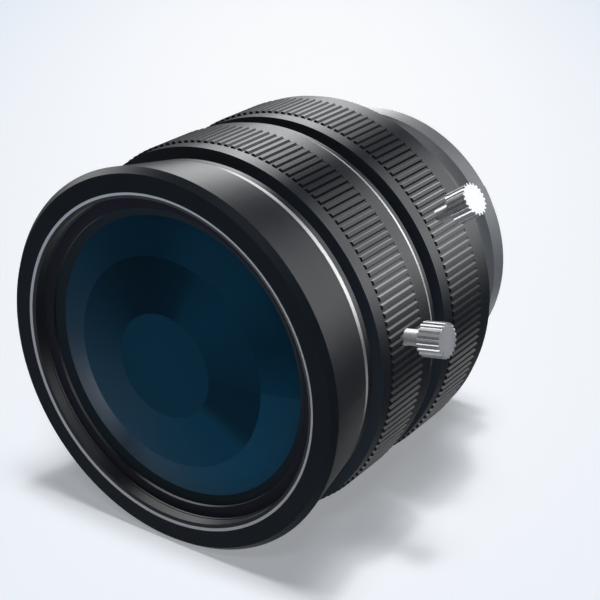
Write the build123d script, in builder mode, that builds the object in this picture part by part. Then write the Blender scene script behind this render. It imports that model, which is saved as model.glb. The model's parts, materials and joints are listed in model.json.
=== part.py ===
"""Line scan lens with a ribbed iris ring, a ribbed focus ring and a lock screw on each.

The optical axis lies along Y. The front glass faces -Y, the camera side faces +Y and +Z is up.
The origin is the centre of the mount flange's rear face, where the lens seats on a camera.
Stations are lengths along the axis, measured back from the front face. All sizes are millimetres.
"""

import os
from math import atan, cos, degrees, pi, radians, sin, sqrt

from build123d import *

# Clearances
running_clearance = 0.05
thread_clearance = 0.05
slide_clearance = 0.10
ring_end_gap = 0.15
seat_gap = 0.05
cement_gap = 0.03
pin_clearance = 0.05
nut_clearance = 0.02

# Ribbed rings: the plain bands of both rings set the radius of the whole lens
band_radius = 29.6
rear_band_step = 0.12
rib_height = 0.4
rib_root_depth = 0.3
rib_count = 150
rib_base_share = 0.70
rib_top_share = 0.40
front_band_length = 2.2
rib_length = 8.6
iris_rear_band_length = 2.9
ring_bevel_length = 1.0
ring_bevel_depth = 0.35
ring_land_length = 0.8
ring_groove_length = 2.3
focus_rear_band_length = 2.7
iris_ring_wall = 3.4
focus_ring_wall = 2.3
rib_top_radius = band_radius + rib_height
iris_ring_bore = band_radius - iris_ring_wall
focus_ring_bore = band_radius - focus_ring_wall

# Front barrel, outside and mouth
rim_step = 0.5
rim_bevel_depth = 0.8
rim_bevel_length = 1.0
rim_face_width = 2.8
mouth_bevel_length = 0.35
filter_thread_step = 0.9
filter_thread_length = 1.6
retainer_step = 0.2
retainer_depth = 2.6
barrel_taper_depth = 1.9
barrel_bevel_station = 10.9
barrel_bevel_depth = 0.4
barrel_bevel_length = 1.2
front_barrel_length = 13.1
rim_radius = band_radius + rim_step
rim_face_radius = rim_radius - rim_bevel_depth
mouth_radius = rim_face_radius - rim_face_width
filter_thread_radius = mouth_radius - filter_thread_step
retainer_radius = filter_thread_radius - retainer_step
barrel_bevel_radius = rim_radius - barrel_taper_depth
barrel_land_radius = barrel_bevel_radius - barrel_bevel_depth

# Rear housing and mount flange
housing_step = 0.25
housing_land_length = 1.1
housing_taper_depth = 5.5
housing_taper_length = 7.45
housing_length = 12.55
flange_step = 0.25
flange_taper_depth = 0.4
flange_length = 4.1
mount_seat_width = 2.7
mount_thread_wall = 2.4
mount_thread_length = 4.5
mount_thread_bevel = 0.4
mount_screw_count = 4
mount_screw_head_radius = 1.0
mount_screw_head_length = 1.1
mount_screw_shank_radius = 0.6
mount_screw_length = 5.2
mount_screw_sink = 0.3
screw_socket_radius = 0.5
screw_socket_depth = 0.6
housing_front_radius = band_radius - housing_step
housing_taper_radius = housing_front_radius - housing_taper_depth
flange_radius = housing_taper_radius + flange_step
flange_rear_radius = flange_radius - flange_taper_depth
mount_thread_radius = flange_rear_radius - mount_seat_width
flange_bore = mount_thread_radius - mount_thread_wall
mount_screw_circle = (flange_rear_radius + mount_thread_radius) / 2

# Focus drive
focus_travel = 5.0
focus_turn_angle = 150.0
helicoid_wall = 1.83
helicoid_neck_wall = 0.7
helicoid_setback = 0.5
web_length = 1.65
retainer_wall = 0.7
retainer_length = 1.2
skirt_wall = 1.8
guide_sleeve_wall = 1.5
guide_sleeve_front_station = 34.5
guide_flange_length = 1.5
guide_flange_step = 0.2
guide_pin_count = 3
guide_pin_radius = 1.25
guide_pin_station = 42.5
guide_screw_inset = 1.45
guide_screw_count = 3
guide_screw_head_radius = 1.1
guide_screw_head_length = 0.8
guide_screw_shank_radius = 0.6
guide_screw_length = 3.6
guide_screw_hole_room = 0.3
stop_pin_inset = 1.15
stop_pin_radius = 0.5
stop_pin_length = 2.6
stop_groove_depth = 1.4
stop_pin_angle = 100.0
stop_margin_angle = 0.6
grub_angles = (130.0, 215.0, 300.0)
grub_radius = 1.0
grub_sink = 0.3
grub_bite = 1.28
grub_offset = 0.2
helicoid_outer = focus_ring_bore - nut_clearance
helicoid_bore = helicoid_outer - helicoid_wall
helicoid_radius = helicoid_bore - running_clearance
helicoid_neck = helicoid_bore + helicoid_neck_wall
skirt_bore = helicoid_radius - skirt_wall
guide_sleeve_outer = skirt_bore - slide_clearance
guide_sleeve_inner = guide_sleeve_outer - guide_sleeve_wall
guide_flange_radius = helicoid_neck + guide_flange_step
guide_screw_circle = guide_flange_radius - guide_screw_inset
stop_pin_circle = band_radius - stop_pin_inset
grub_inner_radius = helicoid_outer - grub_bite

# Thumbscrews
lock_stem_radius = 1.2
lock_head_radius = 2.6
lock_head_root_radius = 2.3
lock_head_length = 3.6
lock_stem_height = 3.0
lock_spline_count = 20
lock_spline_share = 0.42
lock_pad_radius = 1.1
lock_pad_length = 0.8
lock_pad_gap = 0.05
iris_lock_angle = 10.0
focus_lock_angle = 35.0

# Main barrel
nose_step = 0.65
nose_overlap = 4.15
barrel_shoulder_length = 1.05
skirt_end_station = 46.2
rear_cell_seat_wall = 2.45
rear_cell_seat_length = 2.3
iris_bearing_radius = iris_ring_bore - running_clearance
nose_radius = iris_bearing_radius - nose_step
barrel_shoulder_radius = focus_ring_bore - running_clearance
rear_cell_seat_radius = helicoid_radius - rear_cell_seat_wall

# Iris
iris_chamber_step = 1.85
iris_chamber_station = 21.3
iris_chamber_length = 7.4
iris_plate_width = 8.7
iris_web_step = 2.4
plate_lip = 0.2
base_plate_length = 0.8
blade_count = 8
blade_thickness = 0.2
blade_pitch = 0.3
blade_sweep_angle = 112.0
blade_heel_angle = 4.0
blade_pivot_inset = 1.8
blade_edge_inset = 1.4
blade_drive_angle = 22.0
blade_pin_radius = 0.5
blade_pivot_tab = 1.3
blade_drive_tab = 1.1
blade_turn_angle = 30.0
iris_turn_angle = 40.0
cam_plate_length = 0.8
cam_rim_wall = 0.85
cam_rim_length = 1.6
cover_plate_length = 0.8
snap_ring_length = 0.6
snap_ring_wall = 1.0
snap_ring_arc = 330.0
drive_pin_radius = 0.7
drive_pin_angle = 200.0
drive_pin_inset = 1.0
drive_slot_margin_angle = 1.0
iris_chamber_radius = rear_cell_seat_radius - iris_chamber_step
aperture_radius = iris_chamber_radius - iris_plate_width
iris_web_bore = aperture_radius + iris_web_step
plate_bore = aperture_radius + plate_lip
blade_pivot_radius = iris_chamber_radius - blade_pivot_inset
blade_outer_radius = blade_pivot_radius - blade_edge_inset
drive_pin_height = band_radius - drive_pin_inset

# Glass: rim radius, thickness, and front and rear radius of curvature, positive with its centre behind.
# The inner elements' curvatures are multiples of their rims, as a lens design is scaled.
front_glass_ledge = 2.0
front_glass_lap = 1.2
front_glass_edge_station = 3.4
doublet_ledge = 2.1
doublet_clear_step = 4.5
rear_cell_gap = 1.4
rear_cell_wall = 4.6
rear_doublet_ledge = 1.4
rear_doublet_clear_step = 0.6
rear_doublet_setback = 0.8
rear_cell_radius = guide_sleeve_inner - rear_cell_gap
doublet_rim = iris_chamber_radius - doublet_ledge
rear_rim = rear_cell_radius - rear_cell_wall
rear_doublet_rim = rear_rim - rear_doublet_ledge
front_glass = {"rim": retainer_radius - front_glass_ledge, "front": 80.0, "rear": 600.0, "thickness": 6.1}
crown_glass = {"rim": doublet_rim, "front": 2.53 * doublet_rim, "rear": 15.8 * doublet_rim, "thickness": 7.0}
flint_glass = {
    "rim": doublet_rim, "front": crown_glass["rear"], "rear": 1.47 * doublet_rim, "thickness": 1.8,
    "rear_clear": doublet_rim - doublet_clear_step,
}
rear_flint_glass = {
    "rim": rear_doublet_rim, "front": -1.64 * rear_doublet_rim, "rear": 4.1 * rear_doublet_rim, "thickness": 1.8,
    "front_clear": rear_doublet_rim - rear_doublet_clear_step,
}
rear_crown_glass = {
    "rim": rear_doublet_rim, "front": rear_flint_glass["rear"], "rear": -2.6 * rear_doublet_rim, "thickness": 7.0,
}
rear_glass = {"rim": rear_rim, "front": 4.7 * rear_rim, "rear": -5.6 * rear_rim, "thickness": 5.0}
doublet_air_gap = 0.6
rear_air_gap = 0.6
front_glass_clear_radius = front_glass["rim"] - front_glass_lap

# Retaining rings and rear cell
front_retainer_length = 2.0
front_retainer_lip = 1.7
front_seat_lap = 1.9
doublet_retainer_step = 0.55
doublet_retainer_lap = 1.8
doublet_retainer_length = 1.7
rear_cell_flange_length = 2.15
rear_cell_end_station = 51.0
rear_cell_tail_bevel = 0.9
rear_cell_front_step = 0.3
rear_spacer_wall = 0.8
rear_retainer_lap = 1.0
rear_retainer_length = 2.0
rear_retainer_step = 0.6
housing_bore_gap = 0.6
front_retainer_lip_radius = front_glass_clear_radius + front_retainer_lip
front_seat_bore = front_glass["rim"] - front_seat_lap
doublet_retainer_radius = crown_glass["rim"] + doublet_retainer_step
doublet_retainer_bore = crown_glass["rim"] - doublet_retainer_lap
rear_cell_front_bore = rear_flint_glass["front_clear"] - rear_cell_front_step
rear_retainer_bore = rear_glass["rim"] - rear_retainer_lap
rear_retainer_thread_radius = rear_glass["rim"] + rear_retainer_step

# Stations worked out from the lengths above
iris_ring_front = front_barrel_length + ring_end_gap
iris_ribs_front = iris_ring_front + front_band_length
iris_ribs_rear = iris_ribs_front + rib_length
iris_bevel_front = iris_ribs_rear + iris_rear_band_length
iris_ring_rear = iris_bevel_front + ring_bevel_length + ring_land_length
focus_ring_front = iris_ring_rear + ring_groove_length
focus_ribs_front = focus_ring_front + front_band_length
focus_ribs_rear = focus_ribs_front + rib_length
focus_ring_rear = focus_ribs_rear + focus_rear_band_length
housing_front = focus_ring_rear + ring_end_gap
housing_rear = housing_front + housing_length
seat_station = housing_rear + flange_length
filter_thread_rear = mouth_bevel_length + filter_thread_length
nose_front = front_barrel_length - nose_overlap
shoulder_front = iris_ring_rear + ring_end_gap
shoulder_rear = shoulder_front + barrel_shoulder_length
iris_chamber_rear = iris_chamber_station + iris_chamber_length
barrel_web_rear = iris_chamber_rear + rear_cell_seat_length
helicoid_front = focus_ring_front + helicoid_setback
web_rear = housing_front + web_length
focus_retainer_front = web_rear + slide_clearance
focus_retainer_rear = focus_retainer_front + retainer_length
helicoid_rear = focus_retainer_rear + slide_clearance
guide_flange_front = helicoid_rear + slide_clearance
guide_flange_rear = guide_flange_front + guide_flange_length
blades_front = iris_chamber_station + base_plate_length + (blade_pitch - blade_thickness)
cam_front = blades_front + blade_count * blade_pitch
cam_plate_rear = cam_front + cam_plate_length
cam_rear = cam_plate_rear + cam_rim_length
cover_front = cam_rear + slide_clearance
snap_front = cover_front + cover_plate_length
iris_lock_station = iris_ribs_front + rib_length / 2
focus_lock_station = focus_ribs_front + rib_length / 2
drive_pin_station = cam_plate_rear + cam_rim_length / 2


def at(station):
    """Y of a station: the mount flange's rear face is at Y = 0."""
    return station - seat_station


def sag(curvature, height):
    """Depth of a spherical surface at a height above the axis, signed like its curvature."""
    depth = abs(curvature) - sqrt(curvature**2 - height**2)
    return depth if curvature > 0 else -depth


def turned(*points):
    """Half section of a turned piece, through (radius, station) points."""
    with BuildSketch(Plane.XY) as section:
        with BuildLine():
            Polyline(*[(radius, at(station)) for radius, station in points], close=True)
        make_face()
    return section.sketch


def lens_section(glass, vertex):
    """Half section of a round element whose front vertex stands at the station."""
    rim = glass["rim"]
    front_clear = glass.get("front_clear", rim)
    rear_clear = glass.get("rear_clear", rim)
    rear_vertex = vertex + glass["thickness"]

    def arc(curvature, apex, clear):
        points = [(height, at(apex + sag(curvature, height))) for height in (0, clear / 2, clear)]
        return ThreePointArc(*points)

    with BuildSketch(Plane.XY) as section:
        with BuildLine():
            front_arc = arc(glass["front"], vertex, front_clear)
            rear_arc = arc(glass["rear"], rear_vertex, rear_clear)
            corners = [front_arc @ 1]
            if front_clear < rim:
                corners.append((rim, at(vertex + sag(glass["front"], front_clear))))
            if rear_clear < rim:
                corners.append((rim, at(rear_vertex + sag(glass["rear"], rear_clear))))
            corners.append(rear_arc @ 1)
            Polyline(*corners)
            Line(rear_arc @ 0, front_arc @ 0)
        make_face()
    return section.sketch


def across(station, angle=0.0):
    """Plane square to the axis at a station, seen from the front, turned by an angle from +X."""
    return Plane(origin=(0, at(station), 0), x_dir=(cos(radians(angle)), 0, sin(radians(angle))),
                 z_dir=(0, -1, 0))


def outward(station, angle, radius=0.0):
    """Plane whose normal points away from the axis at a station and an angle from +X."""
    direction = Vector(cos(radians(angle)), 0, sin(radians(angle)))
    origin = direction * radius + Vector(0, at(station), 0)
    return Plane(origin=origin, x_dir=(0, 1, 0), z_dir=direction)


def even_angles(count, first=0.0):
    """Angles of evenly spaced pieces round the axis."""
    return [first + 360.0 * index / count for index in range(count)]


def save(part, label):
    """Label a finished piece and write it to its own file."""
    part.label = label
    export_step(part, f"parts/{label}.step")


os.makedirs("parts", exist_ok=True)


# Front barrel: the rim, the filter thread's bore and the seat of the front glass
front_glass_vertex = front_glass_edge_station - sag(front_glass["front"], front_glass_clear_radius)
front_glass_rear = front_glass_vertex + front_glass["thickness"] + sag(front_glass["rear"], front_glass["rim"])
front_seat_station = front_glass_rear + seat_gap
with BuildPart() as front_barrel:
    revolve(
        turned(
            (mouth_radius, 0),
            (rim_face_radius, 0),
            (rim_radius, rim_bevel_length),
            (barrel_bevel_radius, barrel_bevel_station),
            (barrel_land_radius, barrel_bevel_station + barrel_bevel_length),
            (barrel_land_radius, front_barrel_length),
            (nose_radius + thread_clearance, front_barrel_length),
            (nose_radius + thread_clearance, nose_front),
            (front_seat_bore, nose_front),
            (front_seat_bore, front_seat_station),
            (front_glass["rim"] + seat_gap, front_seat_station),
            (front_glass["rim"] + seat_gap, retainer_depth + front_retainer_length + seat_gap),
            (retainer_radius + thread_clearance, retainer_depth + front_retainer_length + seat_gap),
            (retainer_radius + thread_clearance, filter_thread_rear),
            (filter_thread_radius, filter_thread_rear),
            (filter_thread_radius, mouth_bevel_length),
        ),
        axis=Axis.Y,
    )
save(front_barrel.part, "front_barrel")

# Front retaining ring: screws into the front barrel and laps over the rim of the front glass
with BuildPart() as front_retaining_ring:
    revolve(
        turned(
            (retainer_radius, retainer_depth),
            (front_retainer_lip_radius, retainer_depth),
            (front_glass_clear_radius, front_glass_edge_station - seat_gap),
            (front_glass["rim"] + seat_gap,
             front_glass_vertex + sag(front_glass["front"], front_glass["rim"]) - seat_gap),
            (front_glass["rim"] + seat_gap, retainer_depth + front_retainer_length),
            (retainer_radius, retainer_depth + front_retainer_length),
        ),
        axis=Axis.Y,
    )
save(front_retaining_ring.part, "front_retaining_ring")

# Glass elements, from the front: the vertex of each follows the one before it
crown_vertex = front_glass_vertex + front_glass["thickness"] + doublet_air_gap
flint_vertex = crown_vertex + crown_glass["thickness"] + cement_gap
rear_doublet_seat = iris_chamber_rear + rear_doublet_setback
rear_flint_vertex = rear_doublet_seat - sag(rear_flint_glass["front"], rear_flint_glass["front_clear"])
rear_crown_vertex = rear_flint_vertex + rear_flint_glass["thickness"] + cement_gap
rear_glass_vertex = rear_crown_vertex + rear_crown_glass["thickness"] + rear_air_gap
elements = {
    "front_element": (front_glass, front_glass_vertex),
    "front_doublet_crown": (crown_glass, crown_vertex),
    "front_doublet_flint": (flint_glass, flint_vertex),
    "rear_doublet_flint": (rear_flint_glass, rear_flint_vertex),
    "rear_doublet_crown": (rear_crown_glass, rear_crown_vertex),
    "rear_element": (rear_glass, rear_glass_vertex),
}
for element_name, (glass, vertex) in elements.items():
    with BuildPart() as element:
        revolve(lens_section(glass, vertex), axis=Axis.Y)
    save(element.part, element_name)

# Doublet retaining ring: screws into the nose of the main barrel, in front of the crown element
crown_rim_station = crown_vertex + sag(crown_glass["front"], crown_glass["rim"])
crown_lip_station = crown_vertex + sag(crown_glass["front"], doublet_retainer_bore)
with BuildPart() as doublet_retaining_ring:
    revolve(
        turned(
            (doublet_retainer_radius, crown_rim_station - seat_gap - doublet_retainer_length),
            (doublet_retainer_bore, crown_rim_station - seat_gap - doublet_retainer_length),
            (doublet_retainer_bore, crown_lip_station - seat_gap),
            (crown_glass["rim"], crown_rim_station - seat_gap),
            (doublet_retainer_radius, crown_rim_station - seat_gap),
        ),
        axis=Axis.Y,
    )
save(doublet_retaining_ring.part, "doublet_retaining_ring")

# Main barrel: nose, doublet cell, iris chamber, rear cell seat, and the skirt that slides to focus
doublet_seat = flint_vertex + flint_glass["thickness"] + sag(flint_glass["rear"], flint_glass["rear_clear"])
guide_angles = even_angles(guide_pin_count, first=90.0)
with BuildPart() as main_barrel:
    revolve(
        turned(
            (doublet_retainer_radius + thread_clearance, nose_front),
            (nose_radius, nose_front),
            (nose_radius, front_barrel_length),
            (iris_bearing_radius, front_barrel_length),
            (iris_bearing_radius, shoulder_front),
            (barrel_shoulder_radius, shoulder_front),
            (barrel_shoulder_radius, shoulder_rear),
            (helicoid_radius, shoulder_rear),
            (helicoid_radius, skirt_end_station),
            (skirt_bore, skirt_end_station),
            (skirt_bore, barrel_web_rear),
            (rear_cell_seat_radius, barrel_web_rear),
            (rear_cell_seat_radius, iris_chamber_rear),
            (iris_chamber_radius, iris_chamber_rear),
            (iris_chamber_radius, iris_chamber_station),
            (iris_web_bore, iris_chamber_station),
            (iris_web_bore, doublet_seat + seat_gap),
            (crown_glass["rim"] + seat_gap, doublet_seat + seat_gap),
            (crown_glass["rim"] + seat_gap, crown_rim_station),
            (doublet_retainer_radius + thread_clearance, crown_rim_station),
        ),
        axis=Axis.Y,
    )
    # Slot through the wall for the iris drive pin, as long as the iris ring's turn
    slot_end = degrees((drive_pin_radius + pin_clearance) / iris_chamber_radius) + drive_slot_margin_angle
    slot_half_width = drive_pin_radius + 2 * pin_clearance
    with BuildSketch(across(drive_pin_station - slot_half_width, drive_pin_angle - slot_end)):
        with BuildLine():
            slot_sweep = iris_turn_angle + 2 * slot_end
            outer_arc = CenterArc((0, 0), iris_bearing_radius + 1.0, 0, slot_sweep)
            inner_arc = CenterArc((0, 0), iris_chamber_radius - 1.0, 0, slot_sweep)
            Line(outer_arc @ 0, inner_arc @ 0)
            Line(outer_arc @ 1, inner_arc @ 1)
        make_face()
    extrude(amount=-2 * slot_half_width, mode=Mode.SUBTRACT)
    # Holes for the guide pins
    for guide_angle in guide_angles:
        with BuildSketch(outward(guide_pin_station, guide_angle, skirt_bore - 1.0)):
            Circle(guide_pin_radius)
        extrude(amount=helicoid_radius - skirt_bore + 2.0, mode=Mode.SUBTRACT)
save(main_barrel.part, "main_barrel")

# Guide pins: pressed into the skirt, they reach into the straight slots of the guide sleeve
with BuildPart() as guide_pins:
    for guide_angle in guide_angles:
        with BuildSketch(outward(guide_pin_station, guide_angle, guide_sleeve_inner + 0.2)):
            Circle(guide_pin_radius - pin_clearance)
        extrude(amount=helicoid_radius - 0.2 - guide_sleeve_inner - 0.2)
save(guide_pins.part, "guide_pins")

# Iris base plate: a washer with a pivot hole for each blade
with BuildPart() as iris_base_plate:
    revolve(
        turned(
            (plate_bore, iris_chamber_station),
            (iris_chamber_radius - seat_gap, iris_chamber_station),
            (iris_chamber_radius - seat_gap, iris_chamber_station + base_plate_length),
            (plate_bore, iris_chamber_station + base_plate_length),
        ),
        axis=Axis.Y,
    )
    with BuildSketch(across(iris_chamber_station)):
        with PolarLocations(blade_pivot_radius, blade_count):
            Circle(blade_pin_radius + pin_clearance)
    extrude(amount=-base_plate_length, mode=Mode.SUBTRACT)
save(iris_base_plate.part, "iris_base_plate")

# Iris blades: crescents in separate layers, each with a pivot pin ahead and a drive pin behind
blade_mid_radius = (aperture_radius + blade_outer_radius) / 2
for blade_index, pivot_angle in enumerate(even_angles(blade_count)):
    blade_front = blades_front + blade_index * blade_pitch
    with BuildPart() as iris_blade:
        with BuildSketch(across(blade_front, pivot_angle)):
            with BuildLine():
                heel = -blade_heel_angle
                outer_edge = CenterArc((0, 0), blade_outer_radius, heel, blade_sweep_angle)
                inner_edge = CenterArc((0, 0), aperture_radius, heel, blade_sweep_angle)
                Line(outer_edge @ 0, inner_edge @ 0)
                Line(outer_edge @ 1, inner_edge @ 1)
            make_face()
            for tab_angle, tab_radius in ((0, blade_pivot_tab), (blade_drive_angle, blade_drive_tab)):
                with PolarLocations((blade_mid_radius + blade_pivot_radius) / 2, 1, tab_angle):
                    SlotCenterToCenter(blade_pivot_radius - blade_mid_radius, 2 * tab_radius)
        extrude(amount=-blade_thickness)
        with BuildSketch(across(blade_front, pivot_angle)):
            with Locations((blade_pivot_radius, 0)):
                Circle(blade_pin_radius)
        extrude(amount=blade_front - iris_chamber_station - seat_gap)
        with BuildSketch(across(blade_front + blade_thickness, pivot_angle)):
            with PolarLocations(blade_pivot_radius, 1, blade_drive_angle):
                Circle(blade_pin_radius)
        extrude(amount=-(cam_plate_rear - blade_front - blade_thickness - seat_gap))
    save(iris_blade.part, f"iris_blade_{blade_index + 1}")


def drive_pin_in_cam(turn):
    """Place of a blade's drive pin in the cam ring, once the ring has turned by an angle."""
    blade_turn = radians(turn * blade_turn_angle / iris_turn_angle)
    arm_x = blade_pivot_radius * (cos(radians(blade_drive_angle)) - 1)
    arm_y = blade_pivot_radius * sin(radians(blade_drive_angle))
    pin_x = blade_pivot_radius + arm_x * cos(blade_turn) - arm_y * sin(blade_turn)
    pin_y = arm_x * sin(blade_turn) + arm_y * cos(blade_turn)
    back = -radians(turn)
    return Vector(pin_x * cos(back) - pin_y * sin(back), pin_x * sin(back) + pin_y * cos(back))


def cam_slot():
    """Slot that the drive pin follows, one pin wide, as the ring turns from open to closed."""
    half_width = blade_pin_radius + pin_clearance
    steps = 8
    turns = [iris_turn_angle * step / steps for step in range(steps + 1)]
    centres = [drive_pin_in_cam(turn) for turn in turns]
    small = 0.01
    sides = []
    for turn, centre in zip(turns, centres):
        travel = drive_pin_in_cam(turn + small) - drive_pin_in_cam(turn - small)
        normal = Vector(-travel.Y, travel.X).normalized()
        sides.append((centre + normal * half_width, centre - normal * half_width))
    start_back = (drive_pin_in_cam(-small) - drive_pin_in_cam(small)).normalized()
    end_ahead = (drive_pin_in_cam(turns[-1] + small) - drive_pin_in_cam(turns[-1] - small)).normalized()
    with BuildSketch() as slot:
        with BuildLine():
            left = Spline(*[side[0] for side in sides])
            right = Spline(*[side[1] for side in sides])
            ThreePointArc(left @ 0, centres[0] + start_back * half_width, right @ 0)
            ThreePointArc(left @ 1, centres[-1] + end_ahead * half_width, right @ 1)
        make_face()
    return slot.sketch


# Iris cam ring: a curved slot for each blade's drive pin, and a rim that takes the iris drive pin
cam_radius = iris_chamber_radius - slide_clearance
with BuildPart() as iris_cam_ring:
    revolve(
        turned(
            (plate_bore, cam_front),
            (cam_radius, cam_front),
            (cam_radius, cam_rear),
            (cam_radius - cam_rim_wall, cam_rear),
            (cam_radius - cam_rim_wall, cam_plate_rear),
            (plate_bore, cam_plate_rear),
        ),
        axis=Axis.Y,
    )
    for pivot_angle in even_angles(blade_count):
        with BuildSketch(across(cam_front, pivot_angle)):
            add(cam_slot())
        extrude(amount=-cam_plate_length, mode=Mode.SUBTRACT)
    with BuildSketch(outward(drive_pin_station, drive_pin_angle, cam_radius - cam_rim_wall - 0.5)):
        Circle(drive_pin_radius + pin_clearance / 2)
    extrude(amount=cam_rim_wall + 1.0, mode=Mode.SUBTRACT)
save(iris_cam_ring.part, "iris_cam_ring")

# Iris drive pin: from a blind hole in the iris ring, through the barrel's slot, to the cam ring
with BuildPart() as iris_drive_pin:
    with BuildSketch(outward(drive_pin_station, drive_pin_angle, cam_radius - cam_rim_wall)):
        Circle(drive_pin_radius)
    extrude(amount=drive_pin_height - cam_radius + cam_rim_wall)
save(iris_drive_pin.part, "iris_drive_pin")

# Iris cover plate and snap ring: they close the chamber behind the cam ring
with BuildPart() as iris_cover_plate:
    revolve(
        turned(
            (plate_bore, cover_front),
            (iris_chamber_radius - seat_gap, cover_front),
            (iris_chamber_radius - seat_gap, snap_front),
            (plate_bore, snap_front),
        ),
        axis=Axis.Y,
    )
save(iris_cover_plate.part, "iris_cover_plate")

with BuildPart() as iris_snap_ring:
    revolve(
        turned(
            (iris_chamber_radius - seat_gap - snap_ring_wall, snap_front),
            (iris_chamber_radius - seat_gap, snap_front),
            (iris_chamber_radius - seat_gap, snap_front + snap_ring_length),
            (iris_chamber_radius - seat_gap - snap_ring_wall, snap_front + snap_ring_length),
        ),
        axis=Axis.Y,
        revolution_arc=snap_ring_arc,
    )
save(iris_snap_ring.part, "iris_snap_ring")

# Rear cell: carries the rear doublet, the spacer and the rear element behind the iris
rear_element_seat = rear_glass_vertex + sag(rear_glass["front"], rear_crown_glass["rim"]) - seat_gap
rear_thread_station = rear_glass_vertex + rear_glass["thickness"] + sag(rear_glass["rear"], rear_glass["rim"])
cell_front = iris_chamber_rear + seat_gap
with BuildPart() as rear_cell:
    revolve(
        turned(
            (rear_cell_front_bore, cell_front),
            (rear_cell_seat_radius - seat_gap, cell_front),
            (rear_cell_seat_radius - seat_gap, cell_front + rear_cell_flange_length),
            (rear_cell_radius, cell_front + rear_cell_flange_length),
            (rear_cell_radius, rear_cell_end_station - rear_cell_tail_bevel),
            (rear_cell_radius - rear_cell_tail_bevel, rear_cell_end_station),
            (rear_retainer_thread_radius, rear_cell_end_station),
            (rear_retainer_thread_radius, rear_thread_station),
            (rear_glass["rim"] + seat_gap, rear_thread_station),
            (rear_glass["rim"] + seat_gap, rear_element_seat),
            (rear_crown_glass["rim"] + seat_gap, rear_element_seat),
            (rear_crown_glass["rim"] + seat_gap, rear_doublet_seat - seat_gap),
            (rear_cell_front_bore, rear_doublet_seat - seat_gap),
        ),
        axis=Axis.Y,
    )
save(rear_cell.part, "rear_cell")

# Rear spacer: a tube between the rear doublet and the rear element
spacer_bore = rear_crown_glass["rim"] - rear_spacer_wall
crown_rear_vertex = rear_crown_vertex + rear_crown_glass["thickness"]
with BuildPart() as rear_spacer:
    revolve(
        turned(
            (spacer_bore, crown_rear_vertex + sag(rear_crown_glass["rear"], spacer_bore) + seat_gap),
            (rear_crown_glass["rim"],
             crown_rear_vertex + sag(rear_crown_glass["rear"], spacer_bore) + seat_gap),
            (rear_crown_glass["rim"], rear_glass_vertex + sag(rear_glass["front"], spacer_bore) - seat_gap),
            (spacer_bore, rear_glass_vertex + sag(rear_glass["front"], spacer_bore) - seat_gap),
        ),
        axis=Axis.Y,
    )
save(rear_spacer.part, "rear_spacer")

# Rear retaining ring: screws into the rear cell behind the rear element
rear_surface_vertex = rear_glass_vertex + rear_glass["thickness"]
rear_retainer_front = rear_surface_vertex + sag(rear_glass["rear"], rear_retainer_bore) + seat_gap
with BuildPart() as rear_retaining_ring:
    revolve(
        turned(
            (rear_retainer_bore, rear_retainer_front),
            (rear_retainer_thread_radius - thread_clearance, rear_retainer_front),
            (rear_retainer_thread_radius - thread_clearance, rear_retainer_front + rear_retainer_length),
            (rear_retainer_bore, rear_retainer_front + rear_retainer_length),
        ),
        axis=Axis.Y,
    )
save(rear_retaining_ring.part, "rear_retaining_ring")


def rib_profile():
    """All ribs of a ring as one sketch: flat-topped teeth with sloping sides that stand on the band."""
    pitch = 2 * pi * band_radius / rib_count
    side_slope = pitch * (rib_base_share - rib_top_share) / 2 / rib_height
    root = band_radius - rib_root_depth
    root_width = pitch * rib_base_share + 2 * side_slope * rib_root_depth
    side_angle = 90 - degrees(atan(side_slope))
    with BuildSketch() as ribs:
        with PolarLocations((root + rib_top_radius) / 2, rib_count):
            Trapezoid(root_width, rib_top_radius - root, side_angle, rotation=-90)
    return ribs.sketch


lock_hole_radius = lock_stem_radius + running_clearance

# Iris ring: front band, ribs, rear band and bevel; it turns on the main barrel
with BuildPart() as iris_ring:
    with BuildSketch(across(iris_ribs_front)):
        add(rib_profile())
    extrude(amount=-rib_length)
    revolve(
        turned(
            (iris_ring_bore, iris_ring_front),
            (band_radius, iris_ring_front),
            (band_radius, iris_ribs_rear),
            (band_radius + rear_band_step, iris_ribs_rear),
            (band_radius + rear_band_step, iris_bevel_front),
            (band_radius - ring_bevel_depth, iris_bevel_front + ring_bevel_length),
            (band_radius - ring_bevel_depth, iris_ring_rear),
            (iris_ring_bore, iris_ring_rear),
        ),
        axis=Axis.Y,
    )
    with BuildSketch(outward(iris_lock_station, iris_lock_angle, iris_ring_bore - 1.0)):
        Circle(lock_hole_radius)
    extrude(amount=rib_top_radius - iris_ring_bore + 2.0, mode=Mode.SUBTRACT)
    with BuildSketch(outward(drive_pin_station, drive_pin_angle, iris_ring_bore - 1.0)):
        Circle(drive_pin_radius + pin_clearance / 2)
    extrude(amount=drive_pin_height - iris_ring_bore + 1.0 + pin_clearance, mode=Mode.SUBTRACT)
save(iris_ring.part, "iris_ring")

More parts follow.
